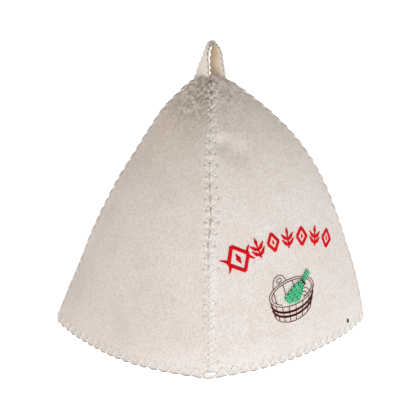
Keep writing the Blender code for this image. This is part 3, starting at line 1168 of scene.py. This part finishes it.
knots = []
for seam, lengths in SEAM_LENGTHS.items():
    stitch_count = int((lengths[-1] - SEAM_TOP_MARGIN) / STITCH_PITCH)
    for stitch in range(1, stitch_count + 1):
        offsets = KNOT_OFFSETS if stitch > stitch_count * CLOSE_KNOTS_START else (0,)
        for offset in offsets:
            knots.append(over_joint(seam, stitch * STITCH_PITCH + offset, KNOT_SPAN, KNOT_LIFT))
bars = [over_joint(BAR_SEAM, height * MM, BAR_SPAN, BAR_LIFT) for height in BAR_HEIGHTS]
bar_thread = thread_material("white polyester thread", "FFFFFF", "F4F1EC", 0.7)
thread_piece("joint_knots", knots, THREAD_RADIUS, 1, seam_thread)
thread_piece("corner_bar_tack", bars, THREAD_RADIUS, 1, bar_thread)

# %% [markdown]
# ## Embroidery
# The front gore bears machine embroidery in satin stitch: threads laid side by side across each
# stroke, packed so close that they shine as one raised band. Each stitch here is a short arched
# thread over the felt. A design is drawn flat, in millimetres to the right of the gore's middle
# and up from the rim, and a function lays it on the curved felt.

# %% Lay a flat design on the front gore
FINE_HEIGHTS = levels_at(FINE_PLACES)["height"]
SATIN_PITCH = 0.42
SATIN_RADIUS = 0.27 * MM
SATIN_SHARES = np.array((-0.5, -0.36, -0.12, 0.12, 0.36, 0.5))
SATIN_ARCH = np.array((-0.9, 0.45, 1.0, 1.0, 0.45, -0.9))
SATIN_LIFT = 0.22
SATIN_LIFT_PER_WIDTH = 0.12


def on_front(spots, lifts):
    """Points on the front gore, from places right and up in mm, and lifts off the felt in mm."""
    spots = np.asarray(spots, dtype=float) * MM
    place = np.interp(spots[..., 1], FINE_HEIGHTS, FINE_PLACES)
    first, second = (seam_point(seam, place) for seam in GORES["gore_front"]["seams"])
    across = (spots[..., 0] - first[..., 0]) / (second[..., 0] - first[..., 0])
    return felt_points("gore_front", across, place, np.asarray(lifts, dtype=float) * MM)


def even_steps(path, pitch):
    """Places a pitch apart along a path, as shares of the path's corners, and the way ahead."""
    path = np.asarray(path, dtype=float)
    lengths = np.concatenate([[0], np.cumsum(np.linalg.norm(np.diff(path, axis=0), axis=1))])
    travelled = np.linspace(0, lengths[-1], max(2, round(lengths[-1] / pitch) + 1))
    spots = np.stack([np.interp(travelled, lengths, path[:, axis]) for axis in (0, 1)], axis=1)
    ahead = np.gradient(spots, axis=0)
    ahead /= np.linalg.norm(ahead, axis=1)[:, None]
    return spots, ahead, np.interp(travelled, lengths, np.arange(len(path)))


def satin(path, widths):
    """Stitches side by side across a stroke, from its path and its width at each corner, in mm."""
    spots, ahead, corners = even_steps(path, SATIN_PITCH)
    width = np.interp(corners, range(len(widths)), widths)
    side = np.stack([-ahead[:, 1], ahead[:, 0]], axis=1)
    spots = spots[:, None] + side[:, None] * (width[:, None] * SATIN_SHARES)[..., None]
    arch = SATIN_LIFT + SATIN_LIFT_PER_WIDTH * width[:, None]
    return list(on_front(spots, arch * SATIN_ARCH))


print("satin threads to a centimetre:", round(10 / SATIN_PITCH))

# %% [markdown]
# ## The red ornament
# A band of folk ornament arches over the tub in bright red silky thread: one large rhomb, then
# small sprigs and rhombs in turn. Each motif is drawn upright about its own middle, as strokes
# with a width at each corner, and then bent onto the arc.

# %% Sew the red ornament
ARC_TOP = (-3.5, 87)
ARC_RADIUS = 116
LARGE_MOTIF_PLACE = -37.8
SMALL_MOTIF_PLACES = (-20.5, -6.5, 7.5, 21.5, 35.5, 49.5)
MIRROR_SIDES = (-1, 1)


def on_arc(along, spots):
    """A motif's spots moved along the arc and turned to stand on it."""
    spots = np.asarray(spots, dtype=float)
    turn = (along + spots[:, 0]) / ARC_RADIUS
    reach = ARC_RADIUS + spots[:, 1]
    right = ARC_TOP[0] + reach * np.sin(turn)
    up = ARC_TOP[1] - ARC_RADIUS + reach * np.cos(turn)
    return np.stack([right, up], axis=1)


def rhomb(half_width, half_height, stroke):
    """The four sides of an open rhomb, as strokes with their widths."""
    corners = [(0, half_height), (half_width, 0), (0, -half_height), (-half_width, 0)]
    return [((corners[side - 1], corners[side]), (stroke, stroke)) for side in range(4)]


def large_rhomb():
    """An open rhomb with a seed in it and a spike off each side."""
    strokes = rhomb(8.6, 9.6, 3.0)
    strokes.append((((0, 3.6), (0, 0), (0, -3.6)), (0.4, 4.6, 0.4)))
    for side in MIRROR_SIDES:
        for rise in MIRROR_SIDES:
            strokes.append((((side * 8.6, rise * 2.2), (side * 11.6, rise * 5.2)), (2.4, 0.8)))
    return strokes


def small_rhomb():
    """An open rhomb with a dot in it."""
    strokes = rhomb(4.9, 6.3, 2.6)
    strokes.append((((0, 1.2), (0, -1.2)), (1.6, 1.6)))
    return strokes


def sprig():
    """A stem with a bud and two pairs of leaves."""
    strokes = [(((0, -6.8), (0, 3)), (1.5, 1.5)), (((0, 1.6), (0, 4.6), (0, 7.6)), (0.8, 3.2, 0.5))]
    for side in MIRROR_SIDES:
        for rise in (-5.4, -1.4):
            leaf = ((0, rise), (side * 2.8, rise + 2.0), (side * 5.6, rise + 5.0))
            strokes.append((leaf, (1.0, 3.1, 0.6)))
    return strokes


motifs = [(LARGE_MOTIF_PLACE, large_rhomb())]
for number, along in enumerate(SMALL_MOTIF_PLACES):
    motifs.append((along, small_rhomb() if number % 2 else sprig()))
red_paths = []
for along, strokes in motifs:
    for corners, widths in strokes:
        red_paths += satin(on_arc(along, corners), widths)
red_thread = thread_material("red rayon thread", "F7061A", "CC0414", 0.5)
thread_piece("red_ornament", red_paths, SATIN_RADIUS, 0, red_thread)

# %% [markdown]
# ## The tub
# Below it stands the bath house's usual figure: a wooden tub of staves with two ears and two
# hoops. The tub's rim and base are two ovals, and every level between them is a blend of the two,
# so staves and hoops follow from a share of the way down.

# %% Shape of the tub
OVAL_STEP = 6
OVAL_LEAST_POINTS = 8
RIM = {"middle": np.array((-1.3, 48.6)), "half_width": 22.0, "half_height": 9.6, "tilt": 3}
BASE = {"middle": np.array((-3.0, 36.6)), "half_width": 18.2, "half_height": 8.8, "tilt": 3}
RIM_WIDTH = 2.2
RIM_SQUASH = 0.7
INNER_RIM = dict(RIM)
INNER_RIM["half_width"] -= RIM_WIDTH
INNER_RIM["half_height"] -= RIM_WIDTH * RIM_SQUASH


def oval(middle, half_width, half_height, tilt, start, end):
    """Part of an oval, with angles in degrees anticlockwise from its right end."""
    count = max(OVAL_LEAST_POINTS, round(abs(end - start) / OVAL_STEP))
    turns = np.radians(np.linspace(start, end, count))
    flat = np.stack([half_width * np.cos(turns), half_height * np.sin(turns)], axis=1)
    tilt = math.radians(tilt)
    turned = flat @ np.array(((math.cos(tilt), math.sin(tilt)), (-math.sin(tilt), math.cos(tilt))))
    return turned + np.array(middle)


def tub_level(share):
    """The oval of the tub's outside at a share of the way from its rim to its base."""
    return {name: at_rim + share * (BASE[name] - at_rim) for name, at_rim in RIM.items()}


def tub_spot(share, angle):
    return oval(**tub_level(share), start=angle, end=angle)[0]


print("tub, mm wide at the rim:", 2 * RIM["half_width"])

# %% [markdown]
# ## Sew the tub's lines and hoops
# The tub's lines are running stitches in dull brown thread: short threads end to end that dip
# into the felt between two stitches. The hoops are satin in a darker thread, sewn last, with the
# whisk's tie.

# %% Sew the tub
LINE_RADIUS = 0.31 * MM
LINE_STEP = 0.45
LINE_STITCH = 1.9
LINE_ARCH = 0.38
LINE_SINK = 0.12
LEFT_EAR = ((-18.4, 54.2), (-17.6, 58.6), (-15.4, 61.6), (-11.6, 63.2), (-8.0, 62.2), (-5.4, 58.4))
RIGHT_EAR = ((2.6, 40.2), (3.6, 44.4), (6.4, 47.8), (10.2, 49.2), (14.0, 47.4), (16.4, 43.2))
LEFT_EAR_HOLE = {"middle": (-11.9, 59.2), "half_width": 2.4, "half_height": 1.4, "tilt": 20}
RIGHT_EAR_HOLE = {"middle": (9.9, 44.6), "half_width": 2.5, "half_height": 1.4, "tilt": -15}
FRONT_STAVE_ANGLES = (196, 216, 236, 254, 272, 292, 314, 336)
BACK_STAVE_ANGLES = (150, 112, 84)
BACK_STAVE_RUN = np.array((1.2, -8.5))
HOOP_SHARES = (0.36, 0.64)
HOOP_WIDTH = 1.5


def run_line(path):
    """A thin line of running stitches that dips into the felt at the end of each stitch."""
    spots, _, _ = even_steps(path, LINE_STEP)
    travelled = np.arange(len(spots)) * LINE_STEP
    lifts = LINE_ARCH * np.abs(np.sin(math.pi * travelled / LINE_STITCH)) ** 0.5 - LINE_SINK
    return [on_front(spots, lifts)]


lines = [
    oval(**RIM, start=0, end=360),
    oval(**INNER_RIM, start=-62, end=232),
    oval(**BASE, start=180, end=360),
    (tub_spot(0, 180), tub_spot(1, 180)),
    (tub_spot(0, 0), tub_spot(1, 0)),
    LEFT_EAR,
    RIGHT_EAR,
    oval(**LEFT_EAR_HOLE, start=0, end=360),
    oval(**RIGHT_EAR_HOLE, start=0, end=360),
]
lines += [(tub_spot(0, angle), tub_spot(1, angle)) for angle in FRONT_STAVE_ANGLES]
for angle in BACK_STAVE_ANGLES:
    top = oval(**INNER_RIM, start=angle, end=angle)[0]
    lines.append((top, top + BACK_STAVE_RUN))
brown_paths = []
for line in lines:
    brown_paths += run_line(line)
brown_thread = thread_material("brown rayon thread", "7C3A30", "5A241C", 0.6)
thread_piece("tub_lines", brown_paths, LINE_RADIUS, 1, brown_thread)

hoop_paths = []
for share in HOOP_SHARES:
    hoop = oval(**tub_level(share), start=182, end=358)
    hoop_paths += satin(hoop, [HOOP_WIDTH] * len(hoop))

# %% [markdown]
# ## The whisk
# A leafy birch whisk leans out of the tub, with its handle to the right and a dark tie where the
# twigs are bound. It widens from the tie down to its leaves and is cut off by the tub's rim. A
# first layer of deep green threads lies across it, and on that lie small leaves of light green
# silky thread, three stitches each, slanted to one side and the other by rows.

# %% Shape of the whisk
WHISK_TIE = np.array((9.4, 53.1))
WHISK_HANDLE_END = np.array((17.4, 59.6))
WHISK_LEAF_END = np.array((-6.6, 40.8))
WHISK_SHARES = (0, 0.25, 0.5, 0.8, 1)
WHISK_WIDTHS = (4.4, 8.6, 10.8, 12.2, 12.6)
RIM_CLEARANCE = 0.94
LEAF_LENGTH = 2.6
LEAF_THREAD_OFFSETS = (-0.42, 0, 0.42)
LEAF_POINTS = 5


def way_and_side(start, end):
    """The way from one spot to another, and the way square to it on its left."""
    way = (end - start) / np.linalg.norm(end - start)
    return way, np.array((-way[1], way[0]))


def in_tub(spot):
    """Whether a spot of the whisk shows over the front of the tub's rim."""
    right, up = spot - INNER_RIM["middle"]
    from_middle = (right / INNER_RIM["half_width"]) ** 2 + (up / INNER_RIM["half_height"]) ** 2
    return up > 0 or from_middle < RIM_CLEARANCE


def leaf_stitches(middle, slant):
    """Three stitches side by side that stand for one small leaf."""
    way = whisk_way * math.cos(slant) + whisk_side * math.sin(slant)
    beside = np.array((-way[1], way[0]))
    shares = np.linspace(-0.5, 0.5, LEAF_POINTS)
    return [
        [middle + beside * offset + way * LEAF_LENGTH * share for share in shares]
        for offset in LEAF_THREAD_OFFSETS
    ]


whisk_way, whisk_side = way_and_side(WHISK_TIE, WHISK_LEAF_END)
whisk_length = np.linalg.norm(WHISK_LEAF_END - WHISK_TIE)
print("whisk, mm long:", round(whisk_length, 1))

# %% Sew the whisk
ROW_POINTS = 9
ROW_LIFT = 0.9
LEAF_ROWS = 10
LEAF_WIDTH = 2.1
LEAF_SLANT = 0.75
LEAF_LIFTS = (0.8, 1.5, 1.7, 1.5, 0.8)
LEAF_COLUMN_STARTS = (0.3, 0.7)
HANDLE_WIDTHS = (3.2, 4.4)
HANDLE_THREADS = ((-0.5, 0.5), (0.1, 0.95), (0.5, 0.5))
TIE_HALF_WIDTH = 2.3
TIE_OFFSETS = (-0.5, 0, 0.5)
TIE_LIFT = 2.0

base_paths = []
for step in range(round(whisk_length / SATIN_PITCH)):
    share = step * SATIN_PITCH / whisk_length
    half_width = 0.5 * np.interp(share, WHISK_SHARES, WHISK_WIDTHS)
    middle = WHISK_TIE + whisk_way * whisk_length * share
    row = [middle + whisk_side * half_width * place for place in np.linspace(-1, 1, ROW_POINTS)]
    row = [spot for spot in row if in_tub(spot)]
    if len(row) > 1:
        base_paths.append(on_front(row, [ROW_LIFT] * len(row)))

light_paths = []
for number in range(LEAF_ROWS):
    share = (number + 0.5) / LEAF_ROWS
    width = np.interp(share, WHISK_SHARES, WHISK_WIDTHS)
    columns = max(2, round(width / LEAF_WIDTH))
    slant = LEAF_SLANT if number % 2 else -LEAF_SLANT
    for column in range(columns):
        sideways = (column + LEAF_COLUMN_STARTS[number % 2]) / columns - 0.5
        middle = WHISK_TIE + whisk_way * whisk_length * share + whisk_side * width * sideways
        if in_tub(middle):
            light_paths += [on_front(leaf, LEAF_LIFTS) for leaf in leaf_stitches(middle, slant)]
light_paths += satin([WHISK_TIE, WHISK_HANDLE_END], HANDLE_WIDTHS)

_, handle_side = way_and_side(WHISK_TIE, WHISK_HANDLE_END)
for place, lift in HANDLE_THREADS:
    start = WHISK_TIE + handle_side * place * HANDLE_WIDTHS[0]
    end = WHISK_HANDLE_END + handle_side * place * HANDLE_WIDTHS[1]
    base_paths.append(on_front(even_steps([start, end], LINE_STEP)[0], lift))
for offset in TIE_OFFSETS:
    tie_middle = WHISK_TIE + whisk_way * offset
    tie = [tie_middle - whisk_side * TIE_HALF_WIDTH, tie_middle + whisk_side * TIE_HALF_WIDTH]
    hoop_paths.append(on_front(tie, TIE_LIFT))
print("threads across the whisk:", len(base_paths), "and on it:", len(light_paths))

# %% Threads of the whisk and the hoops
base_green = thread_material("deep green rayon thread", "27935F", "167A4B", 0.5)
light_green = thread_material("green rayon thread", "7DEBB4", "4CC78E", 0.5)
dark_thread = thread_material("dark maroon rayon thread", "5C100E", "3A0806", 0.6)
thread_piece("birch_whisk", base_paths, SATIN_RADIUS, 0, base_green)
thread_piece("birch_leaves", light_paths, SATIN_RADIUS, 0, light_green)
thread_piece("tub_hoops", hoop_paths, SATIN_RADIUS, 0, dark_thread)

# %% [markdown]
# ## A fleck of dark wool
# A wisp of dark fibre is caught in the cream felt near the right corner. It is a short thick
# thread that starts and ends in the felt.

# %% Fleck
FLECK_SPOTS = ((55.4, 8.6), (55.0, 9.4), (55.3, 10.2), (55.0, 11.0))
FLECK_LIFTS = (0.0, 0.35, 0.35, 0.0)
FLECK_RADIUS = 0.9 * MM
fleck_wool = thread_material("dark wool fibre", "2A2522", "1A1614", 0.9)
fleck = on_front(FLECK_SPOTS, FLECK_LIFTS)
thread_piece("wool_fleck", [fleck], FLECK_RADIUS, 1, fleck_wool)

# %% [markdown]
# ## Light
# A wide soft light in front of the hat and a little to its right, a weaker and warmer one on the
# left, one behind, and a pale surround that darkens upwards. The floor is a matt white table that
# glows faintly, as a lit product table does, so it stays white.

# %% Floor and light
FLOOR_RADIUS = 4.0
FLOOR_SIDES = 96
FLOOR_FINISH = {
    "Base Color": linear("F2F2F2"),
    "Roughness": 1.0,
    "Specular IOR Level": 0.0,
    "Emission Color": linear("FFFFFF"),
    "Emission Strength": 0.95,
}
LIGHT_COLUMNS = ("name", "azimuth", "elevation", "distance", "side", "energy", "code")
LIGHTS = (
    ("key light", -24, 15, 1.9, 1.2, 12.6, "F4F9FF"),
    ("fill light", -105, 12, 1.9, 1.2, 2.5, "FFC98F"),
    ("back light", 150, 35, 2.0, 1.4, 4, "FFFFFF"),
)
WORLD_STRENGTH = 1.05
HORIZON_COLOUR = "BEBEBE"
ZENITH_COLOUR = "828282"
ZENITH_START = 0.8


def build_floor():
    bm = bmesh.new()
    bmesh.ops.create_circle(bm, cap_ends=True, segments=FLOOR_SIDES, radius=FLOOR_RADIUS)
    floor = mesh_object(bm, "floor")
    material, _, _ = new_material("matt white table", FLOOR_FINISH)
    floor.data.materials.append(material)


def soft_light(name, azimuth, elevation, distance, side, energy, code):
    data = bpy.data.lights.new(name, "AREA")
    data.color = linear(code)[:3]
    data.shape = "SQUARE"
    data.size = side
    data.energy = energy
    light = bpy.data.objects.new(name, data)
    way = direction(math.radians(azimuth), math.radians(elevation))
    light.location = CAMERA_AIM + way * distance
    light.rotation_euler = way.to_track_quat("Z", "Y").to_euler()
    bpy.context.scene.collection.objects.link(light)


build_floor()
for row in LIGHTS:
    soft_light(**dict(zip(LIGHT_COLUMNS, row)))

# %% Surround
world = bpy.data.worlds.new("pale surround")
world.use_nodes = True
sky_tree = world.node_tree
background = sky_tree.nodes["Background"]
sky_way = add_node(sky_tree, "ShaderNodeTexCoord").outputs["Generated"]
sky_height = add_node(sky_tree, "ShaderNodeSeparateXYZ", {"Vector": sky_way}).outputs["Z"]
stretch = {"Value": sky_height, "From Min": 0.0, "From Max": ZENITH_START}
sky_range = add_node(sky_tree, "ShaderNodeMapRange", stretch, interpolation_type="SMOOTHSTEP")
blend = {MIX_UNDER: linear(HORIZON_COLOUR), MIX_OVER: linear(ZENITH_COLOUR)}
blend[MIX_SHARE] = sky_range.outputs["Result"]
sky_colour = add_node(sky_tree, "ShaderNodeMix", blend, data_type="RGBA").outputs[MIX_RESULT]
sky_tree.links.new(sky_colour, background.inputs["Color"])
background.inputs["Strength"].default_value = WORLD_STRENGTH
bpy.context.scene.world = world
bpy.context.scene.view_settings.view_transform = "Standard"
print("world:", world.name)
